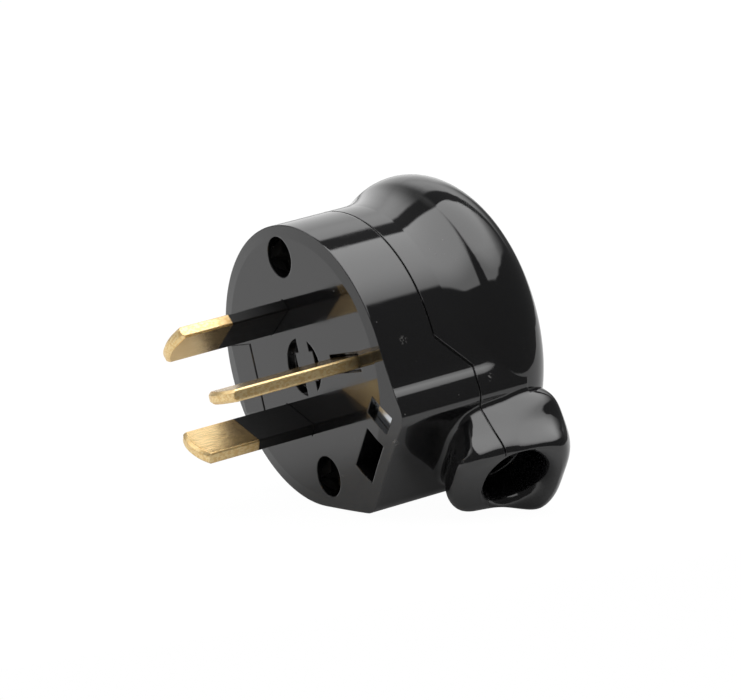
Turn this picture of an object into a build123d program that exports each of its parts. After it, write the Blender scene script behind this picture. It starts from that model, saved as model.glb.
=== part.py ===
"""A side-entry mains plug, lying as it comes to rest on a table.

The plug is drawn with its pin face at z = 0, its pins along +Z and its cord spout along +X.
Depths are measured back from the pin face. At the end every piece is turned into the resting lie.
"""
from build123d import *
from math import acos, atan2, cos, hypot, radians, sin, sqrt, tan
import os

# Round housing, in millimetres
BODY_R = 18.9
RING_WIDTH = 1.7
RING_DROP = 0.22
RIM_ROUND = 0.4
BASE_DEPTH = 8.5
FACE_PLATE = 3.4
WALL = 2.6
BACK_PLATE = 2.8
CAVITY_ROUND = 2.0

# Grip rim and flat back of the rear cover
GRIP_OUT = 2.3
GRIP_ROUND = 5.4
BACK_DEPTH = 25.85
FLARE_R = 11.0

# Shoulder that carries the spout: flanks tangent to the round wall, then a flat
SHOULDER_OUT = 1.1
SHOULDER_EASE = 1.47
ROOT_ROUND = 0.8

# Joint between base and cover, stepped back under the spout
STEP_TO_CORD = 3.05
STEP_RUN = 3.0
STEP_WIDE = 14.0
STEP_WIDE_START = 9.0
STEP_NARROW = 10.5
STEP_NARROW_START = 14.6
SEAM_GAP = 0.2
SEAM_DEPTH = 0.3

# Cord passage
CORD_R = 4.0
CORD_TO_BACK = 9.95
THROAT_OUT = 2.5
THROAT_EASE = 0.1

# Flat pins: blade section, lengths from the face, places on the standard layout
BLADE_WIDTH = 6.35
BLADE_THICK = 1.63
BLADE_R = 7.92
BLADE_LENGTH = 17.06
EARTH_R = 10.31
EARTH_LENGTH = 19.94
EARTH_TURN = 45.0
PIN_SPREAD = 120.0
EDGE_BEVEL = 0.2
TIP_BEVEL = 0.4
PIN_FIT = 0.05
EARTH_RECESS = (6.9, 2.5, 1.2)

# Insulating sleeves on the two live blades
SLEEVE_END = 8.5
SLEEVE_THICK = 0.4

# Terminal blocks behind the face and their screws
BLOCK_WIDTH = 6.4
BLOCK_THICK = 5.4
BLOCK_HEIGHT = 7.0
BLOCK_CHAMFER = 0.4
WIRE_HOLE_R = 1.45
CLAMP_R = 1.5
CLAMP_HEAD_R = 2.3
CLAMP_HEAD = 1.7
CLAMP_BITE = 0.8
THREAD_FIT = 0.03

# Housing screws and the threaded bushes they run into
SCREW_INSET = 4.2
SCREW_HOLE_R = 2.75
SCREW_SEAT = 5.2
SCREW_HEAD_R = 2.5
SCREW_HEAD = 1.8
SCREW_SHANK_R = 1.5
SCREW_CLEARANCE = 0.25
SCREW_REACH = 6.0
BOSS_R = 4.0
BUSH_R = 2.6
BUSH_LENGTH = 7.0
HEAD_CHAMFER = 0.3
SLOT_WIDTH = 0.8
SLOT_DEPTH = 0.9

# Moulded features of the pin face
POCKET_R = 3.9
POCKET_DEPTH = 1.2
POCKET_BAR = (-0.5, 2.0)
POCKET_ISLAND = (4.2, 4.0)
WINDOW_INSET = (5.4, 1.7)
WINDOW_SIDE = (-4.3, 2.4)
RAMP_INSET = (6.2, 1.85)
RAMP_SIDE = (4.4, 7.2)
RAMP_SILL = 1.4
RAMP_SLOPE = 60.0
RAMP_WALL = 0.9

# Walls inside the housing
BARRIER_THICK = 1.4
GRIP_WALL_INSET = (7.7, 6.3)
GRIP_WALL_HALF = 6.0
CORD_SQUEEZE = 1.2

# Resting lie: nose-down tilt, and turn of the spout from straight down
REST_TILT = 6.9
REST_TURN = 55.0

# How far a cutter runs past what it cuts, and a wall into what it joins
OVERCUT = 1.0
OVERLAP = 0.5

FACE_R = BODY_R - RING_WIDTH
GRIP_R = BODY_R + GRIP_OUT
GRIP_CENTRE_R = GRIP_R - GRIP_ROUND
GRIP_DEPTH = BACK_DEPTH - GRIP_ROUND
OUTLET_FLAT = BODY_R + SHOULDER_OUT
SHOULDER_FLAT = sqrt(GRIP_R**2 - OUTLET_FLAT**2)
SHOULDER_HALF = SHOULDER_FLAT + SHOULDER_EASE
FLANK_TURN = atan2(SHOULDER_HALF, OUTLET_FLAT) + acos(BODY_R / hypot(SHOULDER_HALF, OUTLET_FLAT))
SHOULDER_ROUND = SHOULDER_EASE / tan(FLANK_TURN / 2)
CORD_DEPTH = BACK_DEPTH - CORD_TO_BACK
STEP_DEPTH = CORD_DEPTH - STEP_TO_CORD
SCREW_R = BODY_R - SCREW_INSET
CAVITY_R = BODY_R - WALL
CAVITY_DEPTH = BACK_DEPTH - BACK_PLATE
BLOCK_DEPTH = FACE_PLATE + BLOCK_HEIGHT
THROAT_R = CORD_R + THROAT_EASE
FAR = 60.0
RING_POINTS = 16

# Rings round the spout, from its root out to the lip, and round its flared mouth, from the throat out.
# Reaches are past the shoulder's flat, depths are from the cord's axis:
# front reach and depth, rear reach and depth, half width, squareness, fall at the sides,
# swell of the corners and lean of the width towards the rear. The half width is a share of half the
# shoulder's flat for the spout, and of the throat's radius for the mouth
SPOUT_RINGS = [
    (-3.0, -6.3, -2.6, 9.3, 1.1235, 3.3, 0.0, 0.05, 0.08),
    (-0.2, -6.4, 0.4, 9.4, 1.0382, 3.4, 0.0, 0.05, 0.07),
    (2.4, -7.5, 3.8, 9.1, 0.9458, 3.3, 0.0, 0.1, 0.12),
    (4.6, -8.6, 6.8, 8.2, 0.8533, 2.9, 0.3, 0.25, 0.12),
    (6.3, -8.1, 9.0, 6.5, 0.7822, 2.6, 0.7, 0.5, 0.18),
    (7.0, -6.6, 9.6, 5.3, 0.704, 2.4, 0.8, 0.4, 0.16),
    (7.5, -3.1, 9.1, 2.5, 0.3555, 2.0, 0.0, 0.0, 0.0),
]
MOUTH_RINGS = [
    (THROAT_OUT, -THROAT_R, THROAT_OUT, THROAT_R, 1.0, 2.0, 0.0, 0.0, 0.0),
    (4.6, -4.1, 6.0, 4.05, 1.0, 2.0, 0.2, 0.0, 0.0),
    (5.9, -4.2, 7.9, 4.15, 1.0244, 2.05, 0.5, 0.0, 0.0),
    (6.7, -4.6, 9.0, 4.6, 1.1098, 2.15, 0.75, 0.05, 0.03),
    (7.15, -5.3, 9.6, 5.3, 1.2439, 2.25, 0.8, 0.15, 0.08),
    (7.7, -7.5, 10.0, 7.3, 1.7561, 2.4, 0.0, 0.0, 0.0),
]


def power(value, exponent):
    """A signed power, for rounded-square outlines."""
    return abs(value) ** exponent * (1 if value > 0 else -1)


def spout_ring(unit, front_out, front, rear_out, rear, half_width, squareness, fall, swell, lean):
    """One closed outline round the spout, tilted from its front point to its rear point."""
    outline = []
    for step in range(RING_POINTS):
        angle = radians(360 * step / RING_POINTS)
        across = power(cos(angle), 2 / squareness)
        along = power(sin(angle), 2 / squareness)
        reach = (front_out + rear_out) / 2 + (rear_out - front_out) / 2 * along
        reach -= fall * across**2 * (1 - along**2)
        depth = (front + rear) / 2 + (rear - front) / 2 * along
        side = unit * half_width * across * (1 + swell * along**2 + lean * along)
        outline.append((OUTLET_FLAT + reach, side, -CORD_DEPTH - depth))
    return Wire(Spline(outline, periodic=True))


def spout(rings, unit):
    """A smooth body through rings round the cord's way out."""
    return Solid.make_loft([spout_ring(unit, *ring) for ring in rings])


def wall_outline(inset=0.0):
    """The round wall in plan, with the shoulder's tangent flanks and flat."""
    radius = BODY_R - inset
    flat = OUTLET_FLAT - inset
    tangent = (radius * cos(FLANK_TURN), radius * sin(FLANK_TURN))
    corner = (flat, (radius - flat * cos(FLANK_TURN)) / sin(FLANK_TURN))
    shoulder = make_face(
        Polyline(
            (0, 0),
            tangent,
            corner,
            (corner[0], -corner[1]),
            (tangent[0], -tangent[1]),
            (0, 0),
        )
    )
    shoulder = fillet(shoulder.vertices().group_by(Axis.X)[-1], SHOULDER_ROUND)
    return Circle(radius) + shoulder


def grip_form():
    """The turned rear of the cover: waist, concave flare, rounded rim and flat back."""
    flare_r = BODY_R + FLARE_R
    gap = GRIP_ROUND + FLARE_R
    flare_depth = GRIP_DEPTH - sqrt(gap**2 - (flare_r - GRIP_CENTRE_R) ** 2)
    share = GRIP_ROUND / gap
    touch = (
        GRIP_CENTRE_R + share * (flare_r - GRIP_CENTRE_R),
        -GRIP_DEPTH + share * (GRIP_DEPTH - flare_depth),
    )
    start = (BODY_R, -flare_depth)
    outline = [
        Line((0, -BASE_DEPTH), (BODY_R, -BASE_DEPTH)),
        Line((BODY_R, -BASE_DEPTH), start),
        RadiusArc(start, touch, -FLARE_R),
        ThreePointArc(touch, (GRIP_R, -GRIP_DEPTH), (GRIP_CENTRE_R, -BACK_DEPTH)),
        Line((GRIP_CENTRE_R, -BACK_DEPTH), (0, -BACK_DEPTH)),
        Line((0, -BACK_DEPTH), (0, -BASE_DEPTH)),
    ]
    return revolve(Plane.XZ * make_face(outline), Axis.Z)


def housing_form():
    """The whole outside of the housing, base and cover together, still solid."""
    wall = extrude(wall_outline(), -GRIP_DEPTH)
    wall = fillet(wall.faces().sort_by(Axis.Z)[-1].edges(), RIM_ROUND)
    slope = RING_DROP / (BODY_R - FACE_R)
    outer = FAR - FACE_R
    ring = Plane.XZ * Polygon(
        (FACE_R, 0), (FAR, -slope * outer), (FAR, OVERCUT), (FACE_R, OVERCUT), align=None
    )
    wall -= revolve(ring, Axis.Z)
    form = wall + grip_form() + spout(SPOUT_RINGS, SHOULDER_FLAT)
    root = form.edges().sort_by_distance((OUTLET_FLAT, 0, -CORD_DEPTH - SPOUT_RINGS[1][1]))[0]
    return fillet(root, ROOT_ROUND) - spout(MOUTH_RINGS, THROAT_R)


def step_zone(side, half_width, start, grow):
    """One side of the step under the spout, with its sloping end."""
    top = half_width + grow
    foot = top - STEP_RUN
    section = Plane.YZ * Polygon(
        (0, -BASE_DEPTH + OVERLAP),
        (side * top, -BASE_DEPTH + OVERLAP),
        (side * top, -BASE_DEPTH - grow),
        (side * foot, -STEP_DEPTH - grow),
        (0, -STEP_DEPTH - grow),
        align=None,
    )
    return Pos(start - grow, 0, 0) * extrude(section, FAR, dir=(1, 0, 0))


def front_zone(grow=0.0):
    """The room in front of the joint; on one side the step keeps clear of a screw boss."""
    front = Pos(0, 0, -BASE_DEPTH - grow) * Box(
        2 * FAR, 2 * FAR, FAR, align=(Align.CENTER, Align.CENTER, Align.MIN)
    )
    wide = step_zone(1, STEP_WIDE, STEP_WIDE_START, grow)
    narrow = step_zone(-1, STEP_NARROW, STEP_NARROW_START, grow)
    return front + wide + narrow


def seam():
    """The fine groove in the cover's edge that shows the joint on the outside."""
    side = []
    for front_out, _, rear_out, _, half_width, _, fall, *_ in SPOUT_RINGS[:-1]:
        reach = OUTLET_FLAT + (front_out + rear_out) / 2 - fall
        side.append((reach, SHOULDER_FLAT * half_width - 2 * SEAM_DEPTH))
    mirrored = [(reach, -width) for reach, width in reversed(side)]
    plan = wall_outline(SEAM_DEPTH) + make_face(Polyline(*side, *mirrored, side[0]))
    return front_zone(SEAM_GAP) - extrude(plan, -GRIP_DEPTH)


def at_pin(angle, radius):
    """Places a piece drawn on +X at a pin's angle from the earth pin."""
    return Rot(0, 0, EARTH_TURN + angle) * Pos(radius, 0, 0)


SCREW_PLACES = [at_pin(90, SCREW_R), at_pin(-90, SCREW_R)]
LIVE_PLACES = [at_pin(PIN_SPREAD, BLADE_R), at_pin(-PIN_SPREAD, BLADE_R)]
EARTH_PLACE = at_pin(0, EARTH_R) * Rot(0, 0, 90)


def rod(radius, low, high):
    """A round rod on the local Z axis between two heights."""
    return Pos(0, 0, low) * Cylinder(
        radius, high - low, align=(Align.CENTER, Align.CENTER, Align.MIN)
    )


def bar(thick, width, low, high):
    """A square bar on the local Z axis between two heights."""
    return Pos(0, 0, low) * Box(
        thick, width, high - low, align=(Align.CENTER, Align.CENTER, Align.MIN)
    )


def block(x, y, z):
    """A box given by its ends along each axis."""
    return Pos(x[0], y[0], z[0]) * Box(
        x[1] - x[0], y[1] - y[0], z[1] - z[0], align=(Align.MIN, Align.MIN, Align.MIN)
    )


def cavity():
    """The wiring room inside base and cover, clear of the two screw bosses."""
    room = rod(CAVITY_R, -CAVITY_DEPTH, -FACE_PLATE)
    room = fillet(room.edges().sort_by(Axis.Z)[:1], CAVITY_ROUND)
    for place in SCREW_PLACES:
        room -= place * rod(BOSS_R, -BACK_DEPTH, 0)
    return room


def cord_bore():
    """The round way in for the cord, from the wiring room to the throat of the spout."""
    return Pos(CAVITY_R / 2, 0, -CORD_DEPTH) * Rot(0, 90, 0) * Cylinder(
        CORD_R,
        OUTLET_FLAT + THROAT_OUT + OVERLAP - CAVITY_R / 2,
        align=(Align.CENTER, Align.CENTER, Align.MIN),
    )


def centre_pocket():
    """The split round pocket in the middle of the pin face."""
    pocket = rod(POCKET_R, -POCKET_DEPTH, OVERCUT)
    middle = sum(POCKET_BAR) / 2
    pocket -= Pos(middle, 0, 0) * bar(
        POCKET_BAR[1] - POCKET_BAR[0], 4 * POCKET_R, -POCKET_DEPTH, 2 * OVERCUT
    )
    pocket -= Pos(middle, 0, 0) * bar(*POCKET_ISLAND, -POCKET_DEPTH, 2 * OVERCUT)
    return Rot(0, 0, EARTH_TURN) * pocket


def ramp_pocket():
    """The small pocket beside the window, with a steep ramp at its bottom."""
    near, far = RAMP_SIDE
    fall = (far - near) * tan(radians(RAMP_SLOPE))
    section = Plane.YZ * Polygon(
        (near, OVERCUT), (far, OVERCUT), (far, -RAMP_SILL - fall), (near, -RAMP_SILL), align=None
    )
    deep, shallow = RAMP_INSET
    return Pos(OUTLET_FLAT - deep, 0, 0) * extrude(section, deep - shallow, dir=(1, 0, 0))


def cord_wall(low, high):
    """A wall across the cord's way, which bites into the cord."""
    deep, shallow = GRIP_WALL_INSET
    return block(
        (OUTLET_FLAT - deep, OUTLET_FLAT - shallow), (-GRIP_WALL_HALF, GRIP_WALL_HALF), (low, high)
    )


def base_walls():
    """What stands inside the base: barriers, the ramp's block and the cord-grip wall."""
    walls = cord_wall(-CORD_DEPTH + CORD_R - CORD_SQUEEZE, -FACE_PLATE)
    for turn in (0.5, 1.5, 2.5):
        walls += Rot(0, 0, EARTH_TURN + turn * PIN_SPREAD) * block(
            (0, CAVITY_R + OVERCUT), (-BARRIER_THICK / 2, BARRIER_THICK / 2), (-BASE_DEPTH, -FACE_PLATE)
        )
    walls += block(
        (OUTLET_FLAT - RAMP_INSET[0] - RAMP_WALL, CAVITY_R),
        (RAMP_SIDE[0] - RAMP_WALL, RAMP_SIDE[1] + RAMP_WALL),
        (-BASE_DEPTH, -FACE_PLATE),
    )
    return walls & rod(CAVITY_R + OVERLAP, -CAVITY_DEPTH, 0)


def cover_walls():
    """The cord-grip wall that stands on the floor of the cover."""
    return cord_wall(-CAVITY_DEPTH - OVERLAP, -CORD_DEPTH - CORD_R + CORD_SQUEEZE)


def base(shell):
    """Front moulding with the pin face."""
    shape = (shell & front_zone()) + base_walls()
    for place in SCREW_PLACES:
        shape -= place * rod(SCREW_HOLE_R, -SCREW_SEAT, OVERCUT)
        shape -= place * rod(SCREW_SHANK_R + SCREW_CLEARANCE, -BASE_DEPTH - OVERCUT, 0)
    slot = bar(
        BLADE_THICK + 2 * PIN_FIT, BLADE_WIDTH + 2 * PIN_FIT, -FACE_PLATE - OVERCUT, OVERCUT
    )
    for place in (*LIVE_PLACES, EARTH_PLACE):
        shape -= place * slot
    width, thick, depth = EARTH_RECESS
    shape -= EARTH_PLACE * bar(thick, width, -depth, OVERCUT)
    shape -= centre_pocket()
    shape -= ramp_pocket()
    deep, shallow = WINDOW_INSET
    return shape - block(
        (OUTLET_FLAT - deep, OUTLET_FLAT - shallow), WINDOW_SIDE, (-STEP_DEPTH - OVERCUT, OVERCUT)
    )


def rear_cover(shell):
    """Rear moulding with the grip rim and the rear half of the spout."""
    shape = shell - front_zone() - seam() + cover_walls()
    for place in SCREW_PLACES:
        shape -= place * rod(BUSH_R + THREAD_FIT, -BASE_DEPTH - BUSH_LENGTH, -BASE_DEPTH + OVERCUT)
    return shape


def blade(low, length):
    """A flat blade along +Z with eased edges and a rounded, bevelled tip."""
    half = BLADE_WIDTH / 2
    shoulder = length - BLADE_WIDTH + sqrt(BLADE_WIDTH**2 - half**2)
    outline = [
        Polyline((half, shoulder), (half, low), (-half, low), (-half, shoulder)),
        ThreePointArc((-half, shoulder), (0, length), (half, shoulder)),
    ]
    shape = extrude(Plane.YZ * make_face(outline), BLADE_THICK / 2, both=True)
    shape = chamfer(shape.edges().filter_by(GeomType.CIRCLE), TIP_BEVEL)
    return chamfer(shape.edges().filter_by(Axis.Z).group_by(SortBy.LENGTH)[-1], EDGE_BEVEL)


def terminal_block():
    """The brass block behind the face, with a wire hole and a tapped hole from behind."""
    shape = bar(BLOCK_THICK, BLOCK_WIDTH, -BLOCK_DEPTH, -FACE_PLATE)
    shape = chamfer(shape.edges(), BLOCK_CHAMFER)
    middle = -FACE_PLATE - BLOCK_HEIGHT / 2
    shape -= Pos(0, 0, middle) * Rot(90, 0, 0) * Cylinder(WIRE_HOLE_R, 2 * BLOCK_WIDTH)
    return shape - rod(CLAMP_R, -BLOCK_DEPTH - OVERCUT, middle)


def live_pin():
    """A sleeved pin: full blade beyond the sleeve, a thinner core inside it."""
    core = bar(
        BLADE_THICK - 2 * SLEEVE_THICK,
        BLADE_WIDTH - 2 * SLEEVE_THICK,
        -FACE_PLATE - BLOCK_CHAMFER,
        SLEEVE_END,
    )
    return blade(SLEEVE_END, BLADE_LENGTH) + core + terminal_block()


def earth_pin():
    """The longer bare pin."""
    return blade(-FACE_PLATE - BLOCK_CHAMFER, EARTH_LENGTH) + terminal_block()


def pin_sleeve():
    """The moulded sleeve, flush with the blade, down to the terminal block."""
    outside = bar(BLADE_THICK, BLADE_WIDTH, -FACE_PLATE, SLEEVE_END)
    outside = chamfer(outside.edges().filter_by(Axis.Z), EDGE_BEVEL)
    return outside - bar(
        BLADE_THICK - 2 * SLEEVE_THICK,
        BLADE_WIDTH - 2 * SLEEVE_THICK,
        -FACE_PLATE,
        SLEEVE_END,
    )


def slotted_screw(head_r, head, shank_r, shank):
    """A cheese-head screw on the local Z axis, head up, seated at z = 0."""
    shape = rod(head_r, 0, head) + rod(shank_r, -shank, 0)
    shape = chamfer(shape.faces().sort_by(Axis.Z)[-1].edges(), HEAD_CHAMFER)
    return shape - bar(SLOT_WIDTH, 4 * head_r, head - SLOT_DEPTH, head + OVERCUT)


def terminal_screw():
    """Clamps the wire from behind its block."""
    reach = BLOCK_HEIGHT / 2 - WIRE_HOLE_R + CLAMP_BITE
    screw = slotted_screw(CLAMP_HEAD_R, CLAMP_HEAD, CLAMP_R - THREAD_FIT, reach)
    return Pos(0, 0, -BLOCK_DEPTH) * Rot(180, 0, 0) * screw


def housing_screw():
    """Runs from the pin face through the base into the cover's bush."""
    reach = BASE_DEPTH - SCREW_SEAT + SCREW_REACH
    return Pos(0, 0, -SCREW_SEAT) * slotted_screw(SCREW_HEAD_R, SCREW_HEAD, SCREW_SHANK_R, reach)


def cover_insert():
    """A threaded brass bush, level with the joint."""
    bush = rod(BUSH_R, -BASE_DEPTH - BUSH_LENGTH, -BASE_DEPTH)
    return bush - rod(SCREW_SHANK_R + THREAD_FIT, -BASE_DEPTH - BUSH_LENGTH, -BASE_DEPTH)


def resting_plane(shapes):
    """The table's frame in the drawing's axes, with its origin under the middle of the plug."""
    tilt = radians(REST_TILT)
    turn = radians(180 - REST_TURN)
    up = Vector(cos(tilt) * cos(turn), cos(tilt) * sin(turn), -sin(tilt))
    back = Vector(0, 0, -1)
    level = back - up * back.dot(up)
    table = Plane(origin=(0, 0, 0), x_dir=level, z_dir=up)
    box = Compound([table.to_local_coords(shape) for shape in shapes]).bounding_box()
    foot = table.from_local_coords(Vector(box.center().X, box.center().Y, box.min.Z))
    return Plane(origin=foot, x_dir=level, z_dir=up)


def plug():
    """Every piece by its node's name, in the drawing's axes."""
    shell = housing_form() - cavity() - cord_bore()
    pin_places = (*LIVE_PLACES, EARTH_PLACE)
    return {
        "base": base(shell),
        "rear_cover": rear_cover(shell),
        "active_pin": LIVE_PLACES[0] * live_pin(),
        "neutral_pin": LIVE_PLACES[1] * live_pin(),
        "earth_pin": EARTH_PLACE * earth_pin(),
        "active_pin_sleeve": LIVE_PLACES[0] * pin_sleeve(),
        "neutral_pin_sleeve": LIVE_PLACES[1] * pin_sleeve(),
        "terminal_screws": Compound([place * terminal_screw() for place in pin_places]),
        "housing_screws": Compound([place * housing_screw() for place in SCREW_PLACES]),
        "cover_inserts": Compound([place * cover_insert() for place in SCREW_PLACES]),
    }


pieces = plug()
table = resting_plane(pieces.values())
os.makedirs("parts", exist_ok=True)
for name, piece in pieces.items():
    export_step(table.to_local_coords(piece), f"parts/{name}.step")
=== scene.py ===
"""A black side-entry mains plug lying on a white table: looks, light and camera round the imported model."""
from math import cos, radians, sin

import bmesh
import bpy
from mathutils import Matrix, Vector


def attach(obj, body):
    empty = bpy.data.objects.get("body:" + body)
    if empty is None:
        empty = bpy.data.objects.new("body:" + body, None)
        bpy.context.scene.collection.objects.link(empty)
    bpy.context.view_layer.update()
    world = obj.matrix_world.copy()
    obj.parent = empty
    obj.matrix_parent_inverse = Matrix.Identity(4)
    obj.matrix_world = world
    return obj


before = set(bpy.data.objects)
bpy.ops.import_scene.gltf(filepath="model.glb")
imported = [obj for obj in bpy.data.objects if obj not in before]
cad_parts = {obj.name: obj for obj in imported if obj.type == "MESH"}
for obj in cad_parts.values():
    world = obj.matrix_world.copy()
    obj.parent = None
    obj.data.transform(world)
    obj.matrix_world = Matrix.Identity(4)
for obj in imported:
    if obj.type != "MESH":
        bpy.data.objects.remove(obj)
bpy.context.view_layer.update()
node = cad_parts

# Brass pins. Flat blades sheared from rolled strip, with eased edges and a bevelled tip; each is one
# piece with its terminal block behind the face. The strip keeps fine rolling lines along its length,
# the sheared edges are granular, and a blade is browned where its sleeve ends, or near the face. The
# sheared sides and eased edges are given a lighter tone, partly the bright sheared metal and partly
# painted sheen.
TILT = radians(6.9)
PINS = Vector((-cos(TILT), 0, -sin(TILT)))
PIN_LIE = (0, -TILT, 0)
BLADE_EDGE_R = 0.00025
STAIN_REACH = 0.0042
ROLLED_DARK = (0.82, 0.56, 0.24, 1)
ROLLED_LIGHT = (0.93, 0.69, 0.35, 1)
# Lighter tones of the sheared sides and eased edges, partly painted sheen
SHEARED_SHEEN_LIGHT = (0.98, 0.77, 0.42, 1)
SHEARED_SHEEN_DARK = (0.86, 0.60, 0.27, 1)
BROWN_STAIN = (0.30, 0.18, 0.075, 1)


class Signal:
    """A socket of a shader, so that shader sums read as they are worked out."""

    def __init__(self, socket):
        self.socket = socket
        self.tree = socket.id_data

    @staticmethod
    def made(tree, kind, settings, inputs, output=0):
        """Adds one node: its settings first, then the values or links of its sockets."""
        new = tree.nodes.new(kind)
        for name, value in settings.items():
            setattr(new, name, value)
        for key, value in inputs.items():
            if isinstance(value, Signal):
                tree.links.new(value.socket, new.inputs[key])
            else:
                new.inputs[key].default_value = value
        return Signal(new.outputs[output])

    def math(self, operation, *others, first=False):
        values = [*others, self] if first else [self, *others]
        return self.made(self.tree, "ShaderNodeMath", {"operation": operation}, dict(enumerate(values)))

    def __add__(self, other):
        return self.math("ADD", other)

    __radd__ = __add__

    def __sub__(self, other):
        return self.math("SUBTRACT", other)

    def __rsub__(self, other):
        return self.math("SUBTRACT", other, first=True)

    def __mul__(self, other):
        return self.math("MULTIPLY", other)

    __rmul__ = __mul__

    def __abs__(self):
        return self.math("ABSOLUTE")

    def between(self, low, high):
        """0 at low and 1 at high, with soft ends."""
        return self.made(
            self.tree,
            "ShaderNodeMapRange",
            {"interpolation_type": "SMOOTHSTEP"},
            {"Value": self, "From Min": low, "From Max": high},
        )

    def mix(self, low, high):
        """One colour where the value is 0, another where it is 1."""
        return self.made(self.tree, "ShaderNodeMix", {"data_type": "RGBA"}, {0: self, 6: low, 7: high}, 2)

    def vector(self, operation, other):
        """A number worked out from two vectors."""
        return self.made(
            self.tree, "ShaderNodeVectorMath", {"operation": operation}, {0: self, 1: other}, "Value"
        )

    def dot(self, other):
        """How far a vector goes along another."""
        return self.vector("DOT_PRODUCT", other)


def begin(name):
    """A new material with its shader tree."""
    material = bpy.data.materials.new(name)
    material.use_nodes = True
    return material, material.node_tree


def set_surface(material, **sockets):
    """Fills the sockets of a material's surface, by name with spaces as underscores."""
    tree = material.node_tree
    surface = tree.nodes["Principled BSDF"]
    for name, value in sockets.items():
        socket = surface.inputs[name.replace("_", " ")]
        if isinstance(value, Signal):
            tree.links.new(value.socket, socket)
        else:
            socket.default_value = value


def dress(names, material):
    """Gives a material to whole pieces of the model."""
    for name in names:
        node[name].data.materials.clear()
        node[name].data.materials.append(material)


def point(tree):
    """The place on the plug."""
    return Signal.made(tree, "ShaderNodeTexCoord", {}, {}, "Object")


def grain(tree, scale, detail=3.0, turn=(0, 0, 0)):
    """Noise between 0 and 1, with so many marks per metre along each axis."""
    where = Signal.made(
        tree, "ShaderNodeMapping", {}, {"Vector": point(tree), "Rotation": turn, "Scale": scale}
    )
    return Signal.made(tree, "ShaderNodeTexNoise", {}, {"Vector": where, "Scale": 1.0, "Detail": detail})


def softened(tree, radius):
    """The surface's normal with its sharp edges rounded over."""
    return Signal.made(tree, "ShaderNodeBevel", {"samples": 6}, {"Radius": radius})


def bump(height, distance, strength=1.0, **under):
    """A normal pushed about by a height that counts in so many metres."""
    return Signal.made(
        height.tree,
        "ShaderNodeBump",
        {},
        {"Height": height, "Distance": distance, "Strength": strength, **under},
    )


def brass_strip(name, broad, stain_start):
    """Brass of one blade, by the normal of its broad sides and how far out its stain starts."""
    brass, tree = begin(name)
    side = Signal.made(tree, "ShaderNodeTexCoord", {}, {}, "Normal")
    sheared = abs(side.dot(broad)).between(0.95, 0.55)
    rolling = grain(tree, (60, 5200, 5200), 4.0, PIN_LIE)
    granules = grain(tree, (1900, 3400, 3400), 3.0, PIN_LIE)
    patches = grain(tree, (230, 230, 230), 4.0).between(0.35, 0.7)
    stained = point(tree).dot(PINS).between(stain_start + STAIN_REACH, stain_start)
    rolled_tone = patches.mix(ROLLED_DARK, ROLLED_LIGHT)
    # Sides and eased edges take the lighter sheared tone, partly as painted sheen
    sheared_and_sheen_tone = granules.between(0.42, 0.6).mix(SHEARED_SHEEN_LIGHT, SHEARED_SHEEN_DARK)
    tone = sheared.mix(rolled_tone, sheared_and_sheen_tone)
    relief = rolling * 0.5 + granules * sheared * 1.6 + patches * 0.5
    set_surface(
        brass,
        Base_Color=(stained * (0.35 + patches * 0.5)).mix(tone, BROWN_STAIN),
        Metallic=1.0,
        Roughness=0.15 + rolling * 0.14 + sheared * 0.2,
        Normal=bump(relief, 0.00004, 0.6, Normal=softened(tree, BLADE_EDGE_R)),
    )
    return brass


def reach(name):
    """How far out a piece of the model goes along the pins."""
    return max(PINS.dot(corner.co) for corner in node[name].data.vertices)


for name in ("active_pin", "neutral_pin", "earth_pin"):
    largest = max(node[name].data.polygons, key=lambda side: side.area)
    sleeve = name + "_sleeve"
    stain_start = reach(sleeve) if sleeve in node else 0.0
    dress([name], brass_strip("brass_" + name, largest.normal.copy(), stain_start))

# Insulating sleeves. Satin black plastic moulded flush round the two live blades, from the face
# outwards, with a faint flow texture along the blade.
SLEEVE_DARK = (0.004, 0.004, 0.0045, 1)
SLEEVE_LIGHT = (0.008, 0.008, 0.0085, 1)
sleeve_plastic, tree = begin("sleeve_plastic")
flow = grain(tree, (300, 2600, 2600), 4.0, PIN_LIE)
set_surface(
    sleeve_plastic,
    Base_Color=flow.mix(SLEEVE_DARK, SLEEVE_LIGHT),
    Roughness=0.36 + flow * 0.2,
    IOR=1.32,
    Normal=bump(flow, 0.00002, 0.5),
)
dress(("active_pin_sleeve", "neutral_pin_sleeve"), sleeve_plastic)

# Screws and bushes. Slotted screws of plated steel: three clamp wires in the terminal blocks, two hold
# the cover from the pin side at the bottom of their deep holes and run into turned brass bushes.
STEEL_DARK = (0.34, 0.33, 0.31, 1)
STEEL_LIGHT = (0.55, 0.54, 0.51, 1)
BUSH_DARK = (0.72, 0.47, 0.18, 1)
BUSH_LIGHT = (0.85, 0.6, 0.27, 1)
plated_steel, tree = begin("plated_steel")
dulling = grain(tree, (700, 700, 700), 5.0)
set_surface(
    plated_steel,
    Base_Color=dulling.mix(STEEL_DARK, STEEL_LIGHT),
    Metallic=1.0,
    Roughness=0.32 + dulling * 0.2,
)
dress(("terminal_screws", "housing_screws"), plated_steel)
turned_brass, tree = begin("turned_brass")
rings = grain(tree, (5200, 300, 300), 3.0, PIN_LIE)
set_surface(
    turned_brass,
    Base_Color=rings.mix(BUSH_DARK, BUSH_LIGHT),
    Metallic=1.0,
    Roughness=0.2 + rings * 0.2,
)
dress(["cover_inserts"], turned_brass)

# Housing: base and rear cover, compression-moulded in black and polished, and screwed together. The
# surface is a dark mirror with a slight wave, hairline scratches, worn edges and specks of dust, with a
# few pale painted glints among the specks, and a shaded hollow blends the round wall into the spout's
# shoulder.
TURN = radians(55.0)
SPOUT = Vector((cos(TURN) * sin(TILT), -sin(TURN), -cos(TURN) * cos(TILT)))
ACROSS = PINS.cross(SPOUT)
FACE = Vector((-0.003766, 0.002873, 0.018827))
BODY_R = 0.0189
FLANK = radians(52.6)
WALL_MARGIN = (0.00012, 0.00004)
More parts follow.
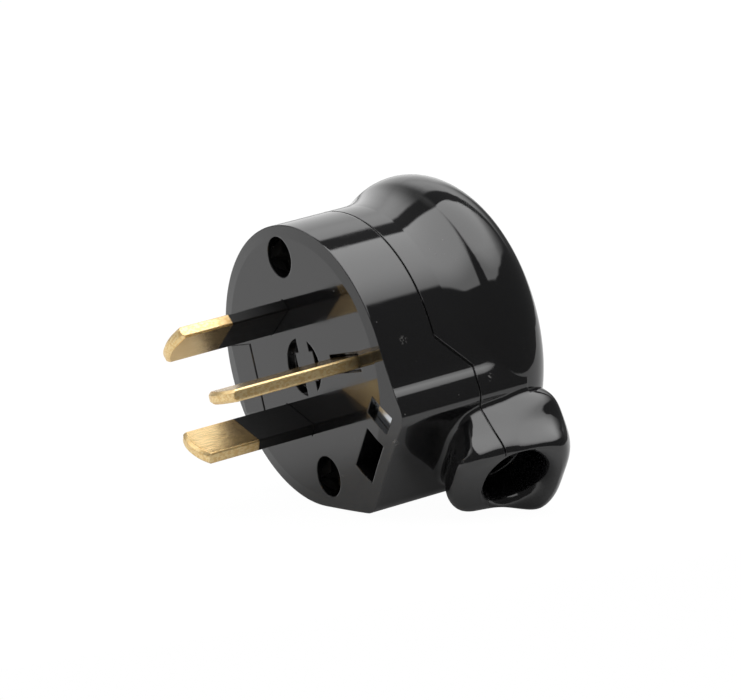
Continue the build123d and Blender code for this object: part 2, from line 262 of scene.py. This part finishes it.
# How far along the flank the hollow's curvature changes, from the end of the round wall, and by how much
HOLLOW_BENDS = ((0.0, -53.0), (0.00337, 53.0), (0.0052, 336.03), (0.007, -560.37), (0.0089, 224.34))
# Depths behind the pin face between which the hollow fades out
HOLLOW_FADE = (0.014, 0.0185)
HOUSING_EDGE_R = 0.00022
HAIR_LINES = (((0.3, 0.9, 0.2), 420), ((1.1, 0.2, 2.3), 360), ((2.0, 1.6, 0.9), 480))
DUST_SCALE = 1100.0
BLACK = (0.006, 0.006, 0.0065, 1)
RUBBED_AND_GLINT_GREY = (0.2, 0.195, 0.19, 1)
# Middle and radius of each pale mark: specks of dust on the wall, and painted glints at the face's rim and
# at the lower screw hole's edge
SCUFFS_AND_GLINTS = (
    ((-0.00241, -0.01598, 0.0111), 0.0007),
    ((-0.00276, -0.00727, 0.01049), 0.00022),
    ((0.00516, -0.01909, 0.00814), 0.0002),
    ((0.00536, -0.01993, 0.00823), 0.0002),
    ((-0.00041, -0.01541, 0.02415), 0.0008),
    ((0.01142, -0.0177, 0.01832), 0.0007),
    ((-0.00212, -0.00306, 0.00523), 0.0004),
)
black_moulding, tree = begin("black_moulding")
out = point(tree).dot(SPOUT) - FACE.dot(SPOUT)
across = abs(point(tree).dot(ACROSS) - FACE.dot(ACROSS))
behind = FACE.dot(PINS) - point(tree).dot(PINS)
run = out * sin(FLANK) - across * cos(FLANK)
from_middle = out * cos(FLANK) + across * sin(FLANK)
on_wall = from_middle.between(BODY_R - WALL_MARGIN[0], BODY_R - WALL_MARGIN[1])
hollow = 0
for start, bend in HOLLOW_BENDS:
    rise = (run - start).math("MAXIMUM", 0.0)
    hollow = hollow + rise * rise * (bend / 2)
hollow = hollow * behind.between(HOLLOW_FADE[1], HOLLOW_FADE[0]) * on_wall
hairs = 0
for turn, length_scale in HAIR_LINES:
    lines = grain(tree, (length_scale, 5200, 5200), 1.0, turn)
    hairs = hairs + abs(lines - 0.5).between(0.012, 0.003)
worn = grain(tree, (120, 120, 120), 2.0).between(0.4, 0.85)
scratch = (hairs * worn).math("MINIMUM", 1.0)
specks = Signal.made(tree, "ShaderNodeTexVoronoi", {}, {"Vector": point(tree), "Scale": DUST_SCALE})
dust_and_glints = specks.between(0.13, 0.06) * grain(tree, (240, 240, 240), 2.0).between(0.58, 0.7)
crumbs = grain(tree, (2600, 2600, 2600)).between(0.5, 0.62)
# Pale marks, partly dust and partly painted glints, join the dust mask
for middle, radius in SCUFFS_AND_GLINTS:
    scuff_and_glint = point(tree).vector("DISTANCE", middle).between(radius, radius * 0.3) * crumbs
    dust_and_glints = dust_and_glints.math("MAXIMUM", scuff_and_glint)
rounded = softened(tree, HOUSING_EDGE_R)
side = Signal.made(tree, "ShaderNodeNewGeometry", {}, {}, "True Normal")
edge = rounded.dot(side).between(0.93, 0.75)
nicks = edge * grain(tree, (1300, 1300, 1300), 3.0).between(0.5, 0.68)
wave = grain(tree, (95, 95, 95), 2.0)
mottle = grain(tree, (420, 420, 420), 5.0)
relief = wave * 0.5 - scratch * 0.03 - nicks * 0.2
# The pale colour falls on dust, worn edges and a few painted glints
set_surface(
    black_moulding,
    Base_Color=(dust_and_glints * 0.6 + nicks * 0.3).mix(BLACK, RUBBED_AND_GLINT_GREY),
    Roughness=0.035 + mottle * 0.03 + scratch * 0.1 + dust_and_glints * 0.4 + nicks * 0.3,
    IOR=1.65,
    Normal=bump(relief, 0.00006, 0.6, Normal=bump(hollow, 1.0, Normal=rounded)),
)
dress(("base", "rear_cover"), black_moulding)

# Face pad. A shallow raised field, moulded in one with the pin face on the side away from the earth pin,
# plain and polished like the face; its foot goes a little way into the face.
PAD_OUT = (-0.017, -0.0122)
PAD_SIDE = (-0.0055, 0.0038)
PAD_PROUD = 0.00014
PAD_SUNK = 0.0003
PAD_EASE = 0.00008
TO_EARTH = (SPOUT + ACROSS).normalized()
TO_SIDE = (ACROSS - SPOUT).normalized()


def oblong(middle, along, along_span, beside, beside_span):
    """Four corners in order, by two directions and where the oblong starts and ends along each."""
    near, far = along_span
    left, right = beside_span
    places = ((near, left), (far, left), (far, right), (near, right))
    return [middle + along * forward + beside * sideways for forward, sideways in places]


def slab(name, corners, rise, ease):
    """A flat plate on a four-cornered outline, its upper edges eased."""
    plate = bmesh.new()
    floor = plate.faces.new([plate.verts.new(corner) for corner in corners])
    top = bmesh.ops.extrude_face_region(plate, geom=[floor])["geom"]
    lifted = [item for item in top if isinstance(item, bmesh.types.BMVert)]
    bmesh.ops.translate(plate, verts=lifted, vec=rise)
    bmesh.ops.recalc_face_normals(plate, faces=plate.faces)
    rim = [edge for edge in plate.edges if all(corner in lifted for corner in edge.verts)]
    bmesh.ops.bevel(plate, geom=rim, offset=ease, segments=3, profile=0.5, affect="EDGES")
    mesh = bpy.data.meshes.new(name)
    plate.to_mesh(mesh)
    plate.free()
    piece = bpy.data.objects.new(name, mesh)
    bpy.context.scene.collection.objects.link(piece)
    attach(piece, "root")
    return piece


pad_corners = oblong(FACE - PINS * PAD_SUNK, TO_EARTH, PAD_OUT, TO_SIDE, PAD_SIDE)
face_pad = slab("face_pad", pad_corners, PINS * (PAD_SUNK + PAD_PROUD), PAD_EASE)
face_pad.data.materials.append(black_moulding)

# Pocket clip. A small plated leaf that lies across the pocket beside the window, at the depth of the
# pocket's sill; it is held between the pocket's walls.
CLIP_OUT = (0.01385, 0.0181)
CLIP_ACROSS = (0.00445, 0.00715)
CLIP_DEPTH = 0.00105
CLIP_THICK = 0.00015
CLIP_EASE = 0.00004
PLATE_DARK = (0.56, 0.59, 0.63, 1)
PLATE_LIGHT = (0.68, 0.71, 0.75, 1)
clip_corners = oblong(FACE - PINS * CLIP_DEPTH, SPOUT, CLIP_OUT, ACROSS, CLIP_ACROSS)
pocket_clip = slab("pocket_clip", clip_corners, PINS * CLIP_THICK, CLIP_EASE)
bright_plate, tree = begin("bright_plate")
dulling = grain(tree, (500, 500, 500), 4.0)
set_surface(
    bright_plate,
    Base_Color=dulling.mix(PLATE_DARK, PLATE_LIGHT),
    Metallic=1.0,
    Roughness=0.1 + dulling * 0.1,
)
pocket_clip.data.materials.append(bright_plate)

# Table. A plain board covered in white paper, with the plug lying near its front edge. The camera sees
# it white with a faint shadow; polished surfaces see it dimmer, and the dark room past its edge.
TABLE_HALF = 4.0
TABLE_FRONT = -0.055
PAPER = (0.72, 0.72, 0.72, 1)
WHITE = (1, 1, 1, 1)
PAPER_GLOW = 1.03
SEEN_SHARE = 0.95
MIRRORED_SHARE = 0.13
table_mesh = bpy.data.meshes.new("table")
board = bmesh.new()
bmesh.ops.create_grid(board, x_segments=2, y_segments=2, size=TABLE_HALF)
bmesh.ops.translate(board, verts=board.verts, vec=(0, TABLE_HALF + TABLE_FRONT, 0))
board.to_mesh(table_mesh)
board.free()
table = bpy.data.objects.new("table", table_mesh)
bpy.context.scene.collection.objects.link(table)
paper, tree = begin("white_paper")
tree.nodes.remove(tree.nodes["Principled BSDF"])
camera_ray = Signal.made(tree, "ShaderNodeLightPath", {}, {}, "Is Camera Ray")
glossy_ray = Signal.made(tree, "ShaderNodeLightPath", {}, {}, "Is Glossy Ray")
clear_ray = Signal.made(tree, "ShaderNodeLightPath", {}, {}, "Is Transmission Ray")
glow_share = camera_ray.math("MAXIMUM", clear_ray) * SEEN_SHARE
glow_share = glow_share.math("MAXIMUM", glossy_ray * MIRRORED_SHARE)
surface = Signal.made(
    tree,
    "ShaderNodeMixShader",
    {},
    {
        0: glow_share,
        1: Signal.made(tree, "ShaderNodeBsdfDiffuse", {}, {"Color": PAPER}),
        2: Signal.made(tree, "ShaderNodeEmission", {}, {"Color": WHITE, "Strength": PAPER_GLOW}),
    },
)
tree.links.new(surface.socket, tree.nodes["Material Output"].inputs["Surface"])
table_mesh.materials.append(paper)

# Studio light. A soft box overhead that hangs lower on the camera's side, a lit window low behind the
# plug with a dark gap between the two, a small fill at the left, and a dim room elsewhere. The camera
# sees plain white.
SOFT_BOX_LEVEL = 1.5
SOFT_BOX_CROWN = 1.4
LOW_WINDOW_LEVEL = 1.1
HIGH_WINDOW_LEVEL = 1.55
FILL_LEVEL = 1.3
ROOM_LEVEL = 0.125
# Each edge of a light: the direction that it faces, and how far along that it is dark and is lit
SOFT_BOX_EDGES = (
    ((0, 1, 1.36), -0.02, 0.03),
    ((0.968, -0.252, 0.385), -0.01, 0.02),
    ((-0.79, 1, 1.3), -0.02, 0.03),
    ((0, -1, 0.3), -0.02, 0.02),
    ((-1, 0, 1.2), -0.2, 0.3),
)
WINDOW_EDGES = (
    ((0, 0, 1), -0.02, 0.1),
    ((0.97, -0.242, 0), -0.35, 0.05),
    ((0, 1, -0.55), 0.0, 0.06),
)
world = bpy.data.worlds.new("studio")
bpy.context.scene.world = world
world.use_nodes = True
tree = world.node_tree
sky = Signal.made(tree, "ShaderNodeTexCoord", {}, {}, "Generated")


def lit(direction, dark, bright):
    """0 to 1 as the sky's direction turns towards another."""
    return sky.dot(Vector(direction).normalized()).between(dark, bright)


soft_box = SOFT_BOX_LEVEL + lit((0, 0, 1), 0.66, 0.9) * SOFT_BOX_CROWN
for light_edge in SOFT_BOX_EDGES:
    soft_box = soft_box * lit(*light_edge)
low_window = lit((-0.71, 0.71, 0), -0.12, 0.12) * LOW_WINDOW_LEVEL
high_window = lit((0, 1, 0), 0.0, 0.3) * lit((0, 0, 1), 0.25, 0.75) * HIGH_WINDOW_LEVEL
window = low_window.math("MAXIMUM", high_window)
for light_edge in WINDOW_EDGES:
    window = window * lit(*light_edge)
left_fill = lit((-0.61, 0.48, 0.6), 0.84, 0.97) * FILL_LEVEL
glow = soft_box + window + left_fill + ROOM_LEVEL
camera_ray = Signal.made(tree, "ShaderNodeLightPath", {}, {}, "Is Camera Ray")
level = glow * (1 - camera_ray) + camera_ray
tree.links.new(level.socket, tree.nodes["Background"].inputs["Strength"])
tree.nodes["Background"].inputs["Color"].default_value = WHITE

# Camera. A long lens in front of the plug, a little above the table and at the pins' side of the spout,
# so that the pin face, the round wall and the spout's mouth all show.
LENS = 260.9
SENSOR = 36
CAMERA_AT = (-0.38033, -0.57633, 0.13197)
CAMERA_TURN = (80.86, 1.36, -33.97)
lens = bpy.data.cameras.new("camera")
lens.lens = LENS
lens.sensor_width = SENSOR
camera = bpy.data.objects.new("camera", lens)
camera.location = CAMERA_AT
camera.rotation_euler = [radians(angle) for angle in CAMERA_TURN]
bpy.context.scene.collection.objects.link(camera)
bpy.context.scene.camera = camera
bpy.context.scene.view_settings.view_transform = "Standard"
